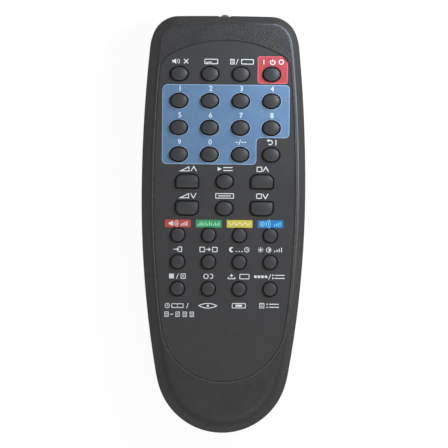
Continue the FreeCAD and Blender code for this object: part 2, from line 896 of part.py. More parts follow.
lead_top = board_bottom + lead_depth_in_board


def led_lead_y():
    return front_y + led_proud - led_radius - led_body_length - led_flange_thickness - led_lead_run


def build_led():
    """Five millimetre diode with a domed tip, a flange and two leads bent up into the board."""
    dome_y = front_y + led_proud - led_radius
    back_y = dome_y - led_body_length
    forwards = Vector(0, 1, 0)
    body = Part.makeCylinder(led_radius, led_body_length, Vector(0, back_y, led_level), forwards)
    dome = Part.makeSphere(led_radius, Vector(0, dome_y, led_level))
    flange_start = Vector(0, back_y - led_flange_thickness, led_level)
    flange = Part.makeCylinder(led_flange_radius, led_flange_thickness, flange_start, forwards)
    lens = join([body, dome, flange])
    leads = []
    for side in (-1, 1):
        x = side * led_lead_spacing / 2
        start = Vector(x, flange_start.y, led_level)
        corner = Vector(x, led_lead_y(), led_level)
        leads.append(wire_along([start, corner, Vector(x, corner.y, lead_top)], led_lead_bend))
    return [lens] + leads


def straight_leads(x, y, low_z):
    return [post(lead_radius, x + side * leg_spacing / 2, y, low_z, lead_top) for side in (-1, 1)]


def spread_leg(x, y, side, inner, low_z):
    """Leg that comes up out of a body at inner from its middle and steps out to the board hole."""
    knee_z = board_bottom - leg_standoff / 2
    inner_x = x + side * inner
    outer_x = x + side * leg_spacing / 2
    points = [(inner_x, low_z), (inner_x, knee_z), (outer_x, knee_z), (outer_x, lead_top)]
    return wire_along([Vector(px, y, z) for px, z in points], leg_bend)


def staple(middle, reach, bend):
    """Wire that runs through middle and turns up into the board at reach to both sides."""
    ends = [middle - reach, middle + reach]
    feet = [Vector(end.x, end.y, lead_top) for end in ends]
    return wire_along([feet[0], *ends, feet[1]], bend)


def build_chip():
    """Flat chip under the board with a row of bent pins on each side."""
    y = front_y - chip_from_front
    high = board_bottom - chip_standoff
    half_width, half_length = chip_width / 2, chip_length / 2
    body = box(-half_width, half_width, y - half_length, y + half_length, high - chip_height, high)
    body = body.makeChamfer(chip_chamfer, [edge for edge in body.Edges if edge.BoundBox.ZMax < high - 1])
    pins = []
    middle = high - chip_height / 2
    for number in range(chip_pins_per_side):
        pin_y = y + (number - (chip_pins_per_side - 1) / 2) * chip_pin_pitch
        low_y, high_y = pin_y - chip_pin_width / 2, pin_y + chip_pin_width / 2
        for side in (-1, 1):
            knee = side * (half_width + chip_pin_reach / 2)
            toe = side * (half_width + chip_pin_reach)
            start = side * (half_width - chip_pin_thickness)
            heel = knee + side * chip_pin_thickness
            arm = box(min(start, heel), max(start, heel), low_y, high_y, middle, middle + chip_pin_thickness)
            leg = box(min(knee, heel), max(knee, heel), low_y, high_y, middle, board_bottom)
            foot_low = board_bottom - chip_pin_thickness
            foot = box(min(knee, toe), max(knee, toe), low_y, high_y, foot_low, board_bottom)
            pins.append(join([arm, leg, foot]))
    return join([body] + pins)


def build_resonator():
    x, y = resonator_xy()
    high = board_bottom - leg_standoff
    half_width, half_length = resonator_width / 2, resonator_length / 2
    low = high - resonator_height
    body = box(x - half_width, x + half_width, y - half_length, y + half_length, low, high)
    body = body.makeFillet(resonator_rounding, body.Edges)
    return [join([body] + straight_leads(x, y, high - 1))]


def build_electrolytic():
    """Can capacitor lying under the board, its leads bent up into it."""
    x, y = electrolytic_xy()
    level = board_bottom - electrolytic_radius - lying_standoff
    start = Vector(x, y - electrolytic_length / 2, level)
    can = Part.makeCylinder(electrolytic_radius, electrolytic_length, start, Vector(0, 1, 0))
    can = can.makeFillet(can_rounding, [edge for edge in can.Edges if edge.Closed])
    end_y = y + electrolytic_length / 2
    leads = []
    for side in (-1, 1):
        foot_y = electrolytic_foot_y() + side * leg_spacing / 2
        wire_z = level - side
        points = [Vector(x, end_y - 1, wire_z), Vector(x, foot_y, wire_z), Vector(x, foot_y, lead_top)]
        leads.append(wire_along(points, leg_standoff / 2))
    return [join([can, leads[0]]), leads[1].cut(can)]


def build_transistor():
    x, y = transistor_xy()
    high = board_bottom - leg_standoff
    body = post(transistor_radius, x, y, high - transistor_height, high)
    flat = box(x - far, x + far, y - far, y - transistor_flat, high - transistor_height - 1, high + 1)
    body = body.cut(flat)
    outer = [spread_leg(x, y, side, transistor_radius / 2, high - 1) for side in (-1, 1)]
    return [join([body, post(lead_radius, x, y, high - 1, lead_top)] + outer)]


def build_resistor(place):
    x, y = place_xy(place)
    level = board_bottom - resistor_radius - lying_standoff
    start = Vector(x - resistor_length / 2, y, level)
    body = Part.makeCylinder(resistor_radius, resistor_length, start, Vector(1, 0, 0))
    body = body.makeFillet(resistor_rounding, [edge for edge in body.Edges if edge.Closed])
    reach = Vector(resistor_span / 2, 0, 0)
    return join([body, staple(Vector(x, y, level), reach, resistor_bend)])


def build_disc(place):
    x, y = place_xy(place)
    level = board_bottom - leg_standoff - disc_radius
    start = Vector(x, y - disc_thickness / 2, level)
    disc = Part.makeCylinder(disc_radius, disc_thickness, start, Vector(0, 1, 0))
    disc = disc.makeFillet(can_rounding, [edge for edge in disc.Edges if edge.Closed])
    return join([disc] + [spread_leg(x, y, side, disc_radius / 2, level) for side in (-1, 1)])


def build_link(place):
    """Bare wire staple that bridges two tracks."""
    x, y = place_xy(place)
    reach = Vector(0, link_span / 2, 0)
    return staple(Vector(x, y, board_bottom - link_standoff), reach, link_bend)


# Screws

def screw(x, y, seat, head_radius, head_height, shaft_radius, tip):
    """Screw that points up: a domed head with a cross recess below the seat, a pointed shaft above it."""
    head = post(head_radius, x, y, seat - head_height, seat)
    low_edges = [edge for edge in head.Edges if edge.BoundBox.ZMax < seat - head_height / 2]
    head = head.makeFillet(head_height / 3, low_edges)
    shaft = post(shaft_radius, x, y, seat, tip - shaft_radius)
    point = Part.makeCone(shaft_radius, shaft_radius / 4, shaft_radius, Vector(x, y, tip - shaft_radius))
    arm = head_radius * recess_reach
    half = recess_width / 2
    low, high = seat - head_height - 1, seat - head_height + recess_depth
    along_x = box(x - arm, x + arm, y - half, y + half, low, high)
    along_y = box(x - half, x + half, y - arm, y + arm, low, high)
    return carve(join([head, shaft, point]), [along_x, along_y])


def build_board_screws():
    tip = board_top + board_screw_length
    return [
        screw(x, y, board_bottom, board_head_radius, board_head_height, board_screw_radius, tip)
        for x, y in board_screw_places
    ]


def build_case_screws():
    tip = parting_height + case_screw_bite
    return [
        screw(x, y, case_seat_height, case_head_radius, case_head_height, case_screw_radius, tip)
        for x, y in case_screw_places
    ]


# Batteries and their contacts

def build_battery(x, towards_front):
    """Cell with its raised end turned to the front or to the tail."""
    can_length = battery_length - battery_nub_length
    spring_end = contact_thickness + spring_length + contact_slack / 2
    direction = 1 if towards_front else -1
    start_y = bay_tail_y + spring_end if towards_front else bay_front_y - spring_end
    axis = Vector(0, direction, 0)
    can = Part.makeCylinder(battery_diameter / 2, can_length, Vector(x, start_y, battery_level), axis)
    can = can.makeFillet(battery_edge_rounding, [edge for edge in can.Edges if edge.Closed])
    nub_start = Vector(x, start_y + direction * (can_length - 1), battery_level)
    nub = Part.makeCylinder(battery_nub_diameter / 2, battery_nub_length + 1, nub_start, axis)
    return join([can, nub])


def contact_plate(x_low, x_high, wall_y, direction):
    """Sheet metal plate on an end wall of the bay; direction is +1 where it faces the front."""
    near, far_side = sorted([wall_y, wall_y + direction * contact_thickness])
    half = contact_height / 2
    return box(x_low, x_high, near, far_side, battery_level - half, battery_level + half)


def contact_tab(x):
    """Tab from a front contact through the bay's ceiling to the board."""
    half = contact_tab_width / 2
    low = battery_level + contact_height / 2 - 1
    return box(x - half, x + half, bay_front_y - contact_thickness, bay_front_y, low, board_bottom)


def spring_point(x, start_y, direction, turn):
    """Point on the spring's centre line after a number of turns."""
    share = turn / spring_turns
    radius = spring_foot_radius + (spring_tip_radius - spring_foot_radius) * share
    run = (spring_length - 2 * spring_wire_radius) * share + spring_wire_radius
    angle = 2 * pi * turn
    return Vector(x + radius * cos(angle), start_y + direction * run, battery_level + radius * sin(angle))


def contact_spring(x, start_y, direction):
    """Conical coil, one unbroken wire of quarter-turn arcs that narrows towards the cell."""
    quarters = spring_turns * 4
    arcs = []
    for number in range(quarters):
        points = [spring_point(x, start_y, direction, (number + part) / 4) for part in (0, 0.5, 1)]
        arcs.append(Part.Arc(*points).toShape())
    path = Part.Wire(arcs)
    section = Part.Wire([Part.makeCircle(spring_wire_radius, arcs[0].valueAt(arcs[0].FirstParameter),
                                         arcs[0].tangentAt(arcs[0].FirstParameter))])
    return path.makePipeShell([section], True, False)


def spring_gap():
    """Least clear gap between turns, measured on points of the centre line."""
    steps = 32
    points = [spring_point(0, 0, 1, number / steps) for number in range(spring_turns * steps + 1)]
    gaps = [
        (first - second).Length
        for number, first in enumerate(points) for second in points[number + steps // 2:]
    ]
    return min(gaps) - 2 * spring_wire_radius


def build_spring_contact():
    x = battery_pitch / 2
    half = contact_width / 2
    plate = contact_plate(x - half, x + half, bay_front_y, -1)
    return [join([plate, contact_tab(x)]), contact_spring(x, bay_front_y - contact_thickness, -1)]


def build_plate_contact():
    x = -battery_pitch / 2
    half = contact_width / 2
    return [join([contact_plate(x - half, x + half, bay_front_y, -1), contact_tab(x)])]


def build_bridge_contact():
    reach = battery_pitch / 2 + contact_width / 2
    plate = contact_plate(-reach, reach, bay_tail_y, 1)
    return [plate, contact_spring(-battery_pitch / 2, bay_tail_y + contact_thickness, 1)]


# Build every piece

def main():
    keys = key_table()
    for name, shape, x, y in keys:
        write(name, build_key(shape, x, y))
    write("upper_case", [build_upper_case(keys)])
    write("lower_case", [build_lower_case()])
    write("battery_cover", [build_cover()])
    write("face_film", [build_film(keys)])
    write("key_mat", [build_mat(keys)])
    write("circuit_board", [build_board()])
    write("contact_pads", build_pads(keys))
    write("encoder_chip", [build_chip()])
    write("resonator", build_resonator())
    write("filter_capacitor", build_electrolytic())
    write("drive_transistor", build_transistor())
    write("resistors", [build_resistor(place) for place in resistor_places])
    write("disc_capacitors", [build_disc(place) for place in disc_places])
    write("wire_links", [build_link(place) for place in link_places])
    write("ir_led", build_led())
    write("board_screws", build_board_screws())
    write("case_screws", build_case_screws())
    write("battery_left", [build_battery(-battery_pitch / 2, True)])
    write("battery_right", [build_battery(battery_pitch / 2, False)])
    write("spring_contact", build_spring_contact())
    write("plate_contact", build_plate_contact())
    write("bridge_contact", build_bridge_contact())
    print(f"least gap between spring turns: {spring_gap():.2f} mm")


main()
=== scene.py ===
import json
from math import acos, asin, atan2, cos, pi, radians, sin, tan

import bpy
from mathutils import Matrix, Vector
from mathutils.geometry import convex_hull_2d


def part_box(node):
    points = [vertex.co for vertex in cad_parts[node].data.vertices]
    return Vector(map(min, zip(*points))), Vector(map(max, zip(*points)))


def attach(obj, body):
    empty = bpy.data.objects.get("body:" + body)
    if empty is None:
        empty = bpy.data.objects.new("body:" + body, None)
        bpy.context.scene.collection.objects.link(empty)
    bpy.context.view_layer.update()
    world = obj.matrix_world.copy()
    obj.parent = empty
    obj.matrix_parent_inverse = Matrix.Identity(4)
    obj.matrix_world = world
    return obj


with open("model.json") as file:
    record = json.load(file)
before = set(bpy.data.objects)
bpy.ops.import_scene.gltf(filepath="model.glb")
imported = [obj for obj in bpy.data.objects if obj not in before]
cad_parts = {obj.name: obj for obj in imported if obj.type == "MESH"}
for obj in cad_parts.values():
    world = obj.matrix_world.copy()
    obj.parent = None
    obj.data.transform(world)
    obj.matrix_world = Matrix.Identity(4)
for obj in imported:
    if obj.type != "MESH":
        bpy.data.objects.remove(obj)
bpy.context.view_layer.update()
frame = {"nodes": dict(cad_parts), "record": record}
nodes = frame["nodes"]

mm = 0.001
film_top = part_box("face_film")[1].z / mm
case_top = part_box("upper_case")[1].z / mm


# Drawing flat shapes, in millimetres

def key_place(key):
    """Middle of a key, seen from above."""
    low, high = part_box(key)
    return (low.x + high.x) / 2 / mm, (low.y + high.y) / 2 / mm


def arc(centre, radius, first, last, steps=10):
    """Points along an arc, its two angles in degrees."""
    angles = [radians(first + (last - first) * step / steps) for step in range(steps + 1)]
    return [(centre[0] + radius * cos(angle), centre[1] + radius * sin(angle)) for angle in angles]


def circle(x, y, radius, steps=28):
    return arc((x, y), radius, 0, 360, steps)[:-1]


def ring(x, y, radius, width):
    return [circle(x, y, radius + width / 2), circle(x, y, radius - width / 2)]


def rounded(corners, steps=6):
    """Closed loop through corners, each given as x, y and the radius that rounds it."""
    loop = []
    for number, (x, y, radius) in enumerate(corners):
        corner = Vector((x, y))
        before = (Vector(corners[number - 1][:2]) - corner).normalized()
        after = (Vector(corners[(number + 1) % len(corners)][:2]) - corner).normalized()
        if not radius:
            loop.append((x, y))
            continue
        half = before.angle(after) / 2
        centre = corner + (before + after).normalized() * (radius / sin(half))
        first, last = [corner + way * (radius / tan(half)) - centre for way in (before, after)]
        start = atan2(first.y, first.x)
        turn = (atan2(last.y, last.x) - start + pi) % (2 * pi) - pi
        loop += arc(centre, radius, *[a * 180 / pi for a in (start, start + turn)], steps)
    return loop


def panel(low_x, low_y, high_x, high_y, radius=0.0):
    """Rectangle with rounded corners."""
    corners = [(low_x, low_y), (high_x, low_y), (high_x, high_y), (low_x, high_y)]
    return rounded([(x, y, radius) for x, y in corners])


def outline(low_x, low_y, high_x, high_y, width, radius=0.3):
    """Frame of a rectangle, drawn with a line of that width."""
    inner = max(radius - width, 0)
    return [
        panel(low_x, low_y, high_x, high_y, radius),
        panel(low_x + width, low_y + width, high_x - width, high_y - width, inner),
    ]


def stroke(points, width):
    """Loop round an open line, with mitred corners and square ends."""
    line = [Vector(point) for point in points]
    ways = [(after - before).normalized() for before, after in zip(line, line[1:])]
    left, right = [], []
    for number, point in enumerate(line):
        before = ways[max(number - 1, 0)]
        after = ways[min(number, len(ways) - 1)]
        middle = (before + after).normalized()
        across = Vector((-middle.y, middle.x))
        reach = width / 2 / max(across.dot(Vector((-before.y, before.x))), 0.35)
        left.append(tuple(point + across * reach))
        right.append(tuple(point - across * reach))
    return left + right[::-1]


def shifted(loops, x, y):
    return [[(px + x, py + y) for px, py in loop] for loop in loops]


# Thin printed pieces on the film: an ink starts inside the film and stands proud of it

ink_depth = 0.05
field_ink = 0.02
mark_ink = 0.04
digit_boldness = 0.02


def piece_from(mesh, name, finish, body):
    mesh.name = name
    mesh.materials.clear()
    mesh.materials.append(finish)
    piece = bpy.data.objects.new(name, mesh)
    bpy.context.scene.collection.objects.link(piece)
    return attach(piece, body)


def mesh_of(holder):
    """Mesh of a curve or a text, which is then thrown away."""
    bpy.context.scene.collection.objects.link(holder)
    bpy.context.view_layer.update()
    shown = holder.evaluated_get(bpy.context.evaluated_depsgraph_get())
    mesh = bpy.data.meshes.new_from_object(shown)
    bpy.data.objects.remove(holder)
    return mesh


def flat_print(name, loops, level, finish, thickness, body="case"):
    """Area inside the loops, less the loops inside it, as a thin plate that stands proud of a level."""
    drawing = bpy.data.curves.new(name, "CURVE")
    drawing.dimensions = "2D"
    drawing.fill_mode = "BOTH"
    drawing.extrude = (thickness + ink_depth) / 2 * mm
    for loop in loops:
        line = drawing.splines.new("POLY")
        line.points.add(len(loop) - 1)
        line.use_cyclic_u = True
        for point, (x, y) in zip(line.points, loop):
            point.co = (x * mm, y * mm, 0, 1)
    mesh = mesh_of(bpy.data.objects.new(name, drawing))
    mesh.transform(Matrix.Translation((0, 0, (level + (thickness - ink_depth) / 2) * mm)))
    return piece_from(mesh, name, finish, body)


def number_print(name, words, x, y, height, level, finish, thickness, body="case"):
    """Plain digits, centred on a place, with capitals of that height."""
    text = bpy.data.curves.new(name, "FONT")
    text.body = words
    text.extrude = 1
    text.offset = digit_boldness
    mesh = mesh_of(bpy.data.objects.new(name, text))
    corners = [v.co for v in mesh.vertices]
    low_x, high_x = min(c.x for c in corners), max(c.x for c in corners)
    low_y, high_y = min(c.y for c in corners), max(c.y for c in corners)
    grow = height / (high_y - low_y) * mm
    centre = Vector(((low_x + high_x) / 2, (low_y + high_y) / 2, 0))
    lift = (level + (thickness - ink_depth) / 2) * mm
    mesh.transform(
        Matrix.Translation((x * mm, y * mm, lift))
        @ Matrix.Diagonal((grow, grow, (thickness + ink_depth) / 2 * mm, 1))
        @ Matrix.Translation(-centre)
    )
    return piece_from(mesh, name, finish, body)


# Building materials

def tone(red, green, blue):
    """Colour as seen, each part from 0 to 255, as a shader takes it."""
    parts = [part / 255 for part in (red, green, blue)]
    return tuple(p / 12.92 if p <= 0.04045 else ((p + 0.055) / 1.055) ** 2.4 for p in parts) + (1.0,)


def put(tree, kind, inputs=None, **options):
    """Adds a node with its options; an input takes a value or another node's output."""
    node = tree.nodes.new(kind)
    for option, value in options.items():
        setattr(node, option, value)
    for socket, value in (inputs or {}).items():
        if isinstance(value, bpy.types.NodeSocket):
            tree.links.new(value, node.inputs[socket])
        else:
            node.inputs[socket].default_value = value
    return node


def maths(tree, operation, first, second=0.5, clamp=False):
    return put(tree, "ShaderNodeMath", {0: first, 1: second}, operation=operation, use_clamp=clamp).outputs[0]


def weighed(tree, first, first_share, second, second_share):
    """Sum of two values, each times its share."""
    first_part = maths(tree, "MULTIPLY", first, first_share)
    return maths(tree, "ADD", first_part, maths(tree, "MULTIPLY", second, second_share))


def rest_of(tree, mask):
    """What a mask leaves of 1."""
    return maths(tree, "SUBTRACT", 1.0, mask)


def spread(tree, value, low, high, to_low=0.0, to_high=1.0):
    """Value from low to high, stretched to another range and held inside it."""
    inputs = {"Value": value, "From Min": low, "From Max": high, "To Min": to_low, "To Max": to_high}
    return put(tree, "ShaderNodeMapRange", inputs).outputs["Result"]


def blend(tree, share, first, second):
    """Mix of two colours."""
    return put(tree, "ShaderNodeMix", {0: share, 6: first, 7: second}, data_type="RGBA").outputs[2]


def places(tree):
    """Place on the piece, in millimetres."""
    metres = put(tree, "ShaderNodeTexCoord").outputs["Object"]
    inputs = {0: metres, 1: (1 / mm, 1 / mm, 1 / mm)}
    return put(tree, "ShaderNodeVectorMath", inputs, operation="MULTIPLY").outputs[0]


def new_effect(name, inputs, outputs):
    """Empty group of nodes with named inputs and outputs."""
    group = bpy.data.node_groups.new(name, "ShaderNodeTree")
    for label, value in inputs.items():
        group.interface.new_socket(label, in_out="INPUT", socket_type="NodeSocketFloat").default_value = value
    for label in outputs:
        group.interface.new_socket(label, in_out="OUTPUT", socket_type="NodeSocketFloat")
    return group, put(group, "NodeGroupInput").outputs, put(group, "NodeGroupOutput")


def noise(tree, vector, scale, detail=2.0, roughness=0.5):
    inputs = {"Vector": vector, "Scale": scale, "Detail": detail, "Roughness": roughness}
    return put(tree, "ShaderNodeTexNoise", inputs).outputs["Fac"]


def spark_grain():
    """Spark-eroded mould texture: rounded pits and fine grit."""
    group, given, result = new_effect("spark_grain", {"Grain Size": 0.3}, ["Height"])
    where = places(group)
    scale = maths(group, "DIVIDE", 1.0, given["Grain Size"])
    pits = put(group, "ShaderNodeTexVoronoi", {"Vector": where, "Scale": scale}, feature="SMOOTH_F1")
    grit = noise(group, where, maths(group, "MULTIPLY", scale, 2.2), 2.0)
    height = weighed(group, pits.outputs["Distance"], 0.6, grit, 0.6)
    group.links.new(height, result.inputs["Height"])
    return group


def mottle():
    """Soft, uneven tone: large clouds with smaller ones in them."""
    group, given, result = new_effect("mottle", {"Cloud Size": 12.0}, ["Tone"])
    where = places(group)
    scale = maths(group, "DIVIDE", 1.0, given["Cloud Size"])
    clouds = noise(group, where, scale, 3.0, 0.6)
    flecks = noise(group, where, maths(group, "MULTIPLY", scale, 9.0), 2.0)
    together = weighed(group, clouds, 0.65, flecks, 0.35)
    group.links.new(spread(group, together, 0.3, 0.7), result.inputs["Tone"])
    return group


def edge_wear():
    """Mask of rubbed edges, broken up by noise; on the case it also carries a painted edge highlight."""
    group, given, result = new_effect("edge_wear", {"Width": 0.4, "Amount": 0.6}, ["Mask"])
    radius = maths(group, "MULTIPLY", given["Width"], mm)
    soft = put(group, "ShaderNodeBevel", {"Radius": radius}, samples=4).outputs["Normal"]
    sharp = put(group, "ShaderNodeNewGeometry").outputs["Normal"]
    alike = put(group, "ShaderNodeVectorMath", {0: soft, 1: sharp}, operation="DOT_PRODUCT").outputs["Value"]
    edge = spread(group, alike, 0.99, 0.8)
    patchy = spread(group, noise(group, places(group), 0.6, 4.0, 0.7), 0.35, 0.65, 0.25, 1.0)
    mask = maths(group, "MULTIPLY", maths(group, "MULTIPLY", edge, patchy), given["Amount"], clamp=True)
    group.links.new(mask, result.inputs["Mask"])
    return group


def handling_marks():
    """Mask of fine scratches from use, in two directions, and a few specks of dust."""
    group, given, result = new_effect("handling_marks", {"Scratches": 0.5, "Dust": 0.5}, ["Mask"])
    where = places(group)
    mask = None
    for turn, squeeze in ((0.5, 0.035), (-1.1, 0.05)):
        inputs = {"Vector": where, "Rotation": (0, 0, turn), "Scale": (squeeze, 2.6, 1.0)}
        lines = noise(group, put(group, "ShaderNodeMapping", inputs).outputs["Vector"], 1.0, 2.0, 0.6)
        thin = spread(group, lines, 0.705, 0.745)
        mask = thin if mask is None else maths(group, "MAXIMUM", mask, thin)
    patches = spread(group, noise(group, where, 0.06, 2.0), 0.5, 0.62)
    mask = maths(group, "MULTIPLY", maths(group, "MULTIPLY", mask, patches), given["Scratches"])
    cells = put(group, "ShaderNodeTexVoronoi", {"Vector": where, "Scale": 0.28})
    speck = spread(group, cells.outputs["Distance"], 0.055, 0.02)
    chosen = put(group, "ShaderNodeSeparateColor", {0: cells.outputs["Color"]}).outputs[0]
    speck = maths(group, "MULTIPLY", speck, maths(group, "GREATER_THAN", chosen, 0.72))
    speck = maths(group, "MULTIPLY", speck, given["Dust"])
    group.links.new(maths(group, "MAXIMUM", mask, speck), result.inputs["Mask"])
    return group


effects = {make.__name__: make() for make in (spark_grain, mottle, edge_wear, handling_marks)}


def effect(tree, name, **values):
    node = put(tree, "ShaderNodeGroup", node_tree=effects[name])
    for label, value in values.items():
        node.inputs[label.replace("_", " ").title()].default_value = value
    return node.outputs[0]


class Finish:
    """A material whose colour, roughness and relief are built up step by step."""

    def __init__(self, name, dark, light, cloud_size=12.0, specular=0.5, metallic=0.0, coat=0.0):
        self.material = bpy.data.materials.new(name)
        self.material.use_nodes = True
        self.tree = self.material.node_tree
        self.shader = self.tree.nodes["Principled BSDF"]
        self.shader.inputs["Specular IOR Level"].default_value = specular
        self.shader.inputs["Metallic"].default_value = metallic
        self.shader.inputs["Coat Weight"].default_value = coat
        self.tone = effect(self.tree, "mottle", cloud_size=cloud_size)
        self.colour = blend(self.tree, self.tone, dark, light)
        self.edge = None

    def paint(self, mask, colour):
        self.colour = blend(self.tree, mask, self.colour, colour)
        return self

    def worn(self, colour, width=0.4, amount=0.5, spared=None):
        """Paints the edges lighter and smoother, but not where they are spared; on the case the lighter edges
        are partly a painted highlight.
        """
        self.edge = effect(self.tree, "edge_wear", width=width, amount=amount)
        if spared:
            self.edge = maths(self.tree, "MULTIPLY", self.edge, rest_of(self.tree, spared))
        return self.paint(self.edge, colour)

    def handled(self, colour, scratches=0.4, dust=0.5):
        return self.paint(effect(self.tree, "handling_marks", scratches=scratches, dust=dust), colour)

    def done(self, smooth, rough, grain_size, relief, dull=0.0):
        """Sets roughness, from smooth to rough, and a bump of that relief in millimetres.

        A dull surface is rougher where it is seen edge on.
        """
        height = effect(self.tree, "spark_grain", grain_size=grain_size)
        if self.edge:
            height = maths(self.tree, "MULTIPLY", height, rest_of(self.tree, self.edge))
        inputs = {"Height": height, "Distance": relief * mm, "Strength": 1.0}
        bump = put(self.tree, "ShaderNodeBump", inputs)
        roughness = spread(self.tree, maths(self.tree, "ADD", self.tone, height), 0.2, 1.6, smooth, rough)
        if dull:
            facing = put(self.tree, "ShaderNodeLayerWeight", {"Blend": 0.5}).outputs["Facing"]
            edge_on = maths(self.tree, "MULTIPLY", facing, dull)
            roughness = maths(self.tree, "ADD", roughness, edge_on, clamp=True)
        self.tree.links.new(self.colour, self.shader.inputs["Base Color"])
        self.tree.links.new(roughness, self.shader.inputs["Roughness"])
        self.tree.links.new(bump.outputs["Normal"], self.shader.inputs["Normal"])
        return self.material


def along(tree, axis):
    """Place along one axis, in millimetres."""
    return put(tree, "ShaderNodeSeparateXYZ", {0: places(tree)}).outputs[axis]


def between(tree, value, low, high, soft=0.05):
    """Mask that is 1 from low to high."""
    rise = spread(tree, value, low - soft, low + soft)
    fall = spread(tree, value, high + soft, high - soft)
    return maths(tree, "MULTIPLY", rise, fall)


# Finishes of the pieces that show, with places and distances in millimetres

shell_surface = {"smooth": 0.26, "rough": 0.36, "grain_size": 0.66, "relief": 0.18, "dull": 0.6}
shell_scratches, shell_dust = 0.35, 0.6

# The film's front arc, where the case's edges are left without the pale edge colour, wear and painted
# highlight alike, since that step lies in shade
arc_margin, arc_depth, arc_softness = 1.5, 10, 3.0

# Painted highlight on the rim just under the case's top, on the side the lamps light; it fades in over these
# x and y, towards the front right
rim_depth, rim_clearance, rim_softness = 0.62, 0.12, 0.1
highlight_x = 6, 30
highlight_y = -45, 30

# Heights over the film where the painted shade on a key's skirt starts and is full, and heights of the pill
# under it
shade_start_height, shade_full_height = 1.5, 1.2
pill_bottom, pill_top = 18.0, 18.56

# Along the diode: its head with the flange, and then the leads
led_head_length, led_lead_length = 9.1, 20


def shell_plastic(name):
    """Dark warm grey plastic of the two shells and the cover, not yet rubbed."""
    return Finish(name, tone(49, 49, 50), tone(62, 61, 62), 10, specular=0.26)


def case_finish():
    """The keypad's side: pale edges, partly wear and partly painted highlight, and a painted rim highlight.
    """
    finish = shell_plastic("case_spark_plastic")
    tree = finish.tree
    x, y, z = (along(tree, axis) for axis in range(3))
    low, high = [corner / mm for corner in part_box("face_film")]
    beside_film = between(tree, x, low.x - arc_margin, high.x + arc_margin)
    by_arc = between(tree, y, high.y - arc_depth, high.y + arc_margin, arc_softness)
    # Pale edges: partly wear, partly a painted highlight where the rims catch the light; left out at the
    # front arc, which lies in shade
    finish.worn(tone(161, 162, 165), 0.7, 0.8, spared=maths(tree, "MULTIPLY", beside_film, by_arc))
    finish.handled(tone(137, 135, 131), shell_scratches, shell_dust)
    # Painted highlight: a pale bluish band along the rim, on the side towards the lamps at the front right
    rim = between(tree, z, case_top - rim_depth, case_top - rim_clearance, rim_softness)
    highlight_side = maths(tree, "MULTIPLY", spread(tree, x, *highlight_x), spread(tree, y, *highlight_y))
    finish.paint(maths(tree, "MULTIPLY", rim, highlight_side), tone(120, 124, 133))
    return finish.done(**shell_surface)


def back_finish():
    """The back and the battery cover, which are rubbed less than the keypad's side."""
    finish = shell_plastic("back_spark_plastic")
    finish.worn(tone(90, 90, 92), 0.35, 0.5)
    finish.handled(tone(137, 135, 131), shell_scratches, shell_dust)
    return finish.done(**shell_surface)


def film_finish():
    finish = Finish("film_grey_print", tone(52, 52, 53), tone(60, 60, 62), 22, specular=0.3)
    finish.handled(tone(120, 120, 122), 0.25, 0.35)
    return finish.done(0.4, 0.5, grain_size=0.2, relief=0.006)


def key_finish():
    """Dark grey rubber with painted shade on the skirt close to the film, and a carbon pill at the foot."""
    finish = Finish("key_rubber", tone(41, 42, 44), tone(52, 53, 56), 3, specular=0.4)
    height = along(finish.tree, 2)
    # Painted shade: the key's skirt goes dark towards the film, where the gap round the key lies in shade
    skirt_shade_mask = spread(finish.tree, height, film_top + shade_start_height, film_top + shade_full_height)
    finish.worn(tone(96, 96, 96), 0.35, 0.5).paint(skirt_shade_mask, tone(24, 24, 26))
    pill = between(finish.tree, height, pill_bottom, pill_top, 0.01)
    finish.paint(pill, tone(22, 22, 24))
    return finish.done(0.34, 0.46, grain_size=0.16, relief=0.01)


def ink_finish(name, dark, light):
    return Finish(name, dark, light, 6, specular=0.4).done(0.42, 0.54, grain_size=0.18, relief=0.004)


def led_finish():
    """Smoked resin, with tinned leads behind the flange."""
    finish = Finish("led_smoked_resin", tone(46, 40, 42), tone(58, 50, 52), 3, specular=0.6, coat=0.5)
    flange_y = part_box("ir_led")[1].y / mm - led_head_length
    leads = between(finish.tree, along(finish.tree, 1), flange_y - led_lead_length, flange_y, 0.02)
    finish.paint(leads, tone(190, 190, 188))
    finish.tree.links.new(leads, finish.shader.inputs["Metallic"])
    return finish.done(0.16, 0.3, grain_size=0.5, relief=0.002)


# Finishes of the pieces inside

# Parts of a cell's length, as shares from its flat end
cell_band = 0.66, 0.97
cell_ring = 0.64, 0.655
cell_bare_ends = (-0.1, 0.008), (0.975, 1.1)

# Rings and leads of a resistor, in millimetres from its middle
resistor_x = 14.0
ring_half = 0.28
resistor_rings = (-1.9, (120, 62, 30)), (-0.8, (26, 24, 24)), (0.3, (198, 60, 40)), (1.8, (186, 150, 60))
lead_middle, lead_half = 4.1, 1.05


def plain_finish(name, dark, light, smooth, rough, cloud=5, worn=None, **options):
    finish = Finish(name, tone(*dark), tone(*light), cloud, **options)
    if worn:
        finish.worn(tone(*worn), 0.25, 0.5)
    return finish.done(smooth, rough, grain_size=0.25, relief=0.01)


def board_finish():
    """Brown phenolic board with a printed net of tracks under green lacquer on its lower face."""
    finish = Finish("board_phenolic", tone(132, 88, 46), tone(158, 110, 62), 9, specular=0.4)
    tree = finish.tree
    where = places(tree)
    inputs = {"Vector": where, "Scale": 0.42, "Brick Width": 1.3, "Row Height": 0.45, "Mortar Size": 0.035}
    tracks = put(tree, "ShaderNodeTexBrick", inputs).outputs["Fac"]
    normal = put(tree, "ShaderNodeTexCoord").outputs["Normal"]
    below = spread(tree, put(tree, "ShaderNodeSeparateXYZ", {0: normal}).outputs[2], -0.4, -0.6)
    finish.paint(below, tone(38, 92, 56))
    finish.paint(maths(tree, "MULTIPLY", tracks, below), tone(96, 140, 76))
    return finish.done(0.32, 0.48, grain_size=0.3, relief=0.006)


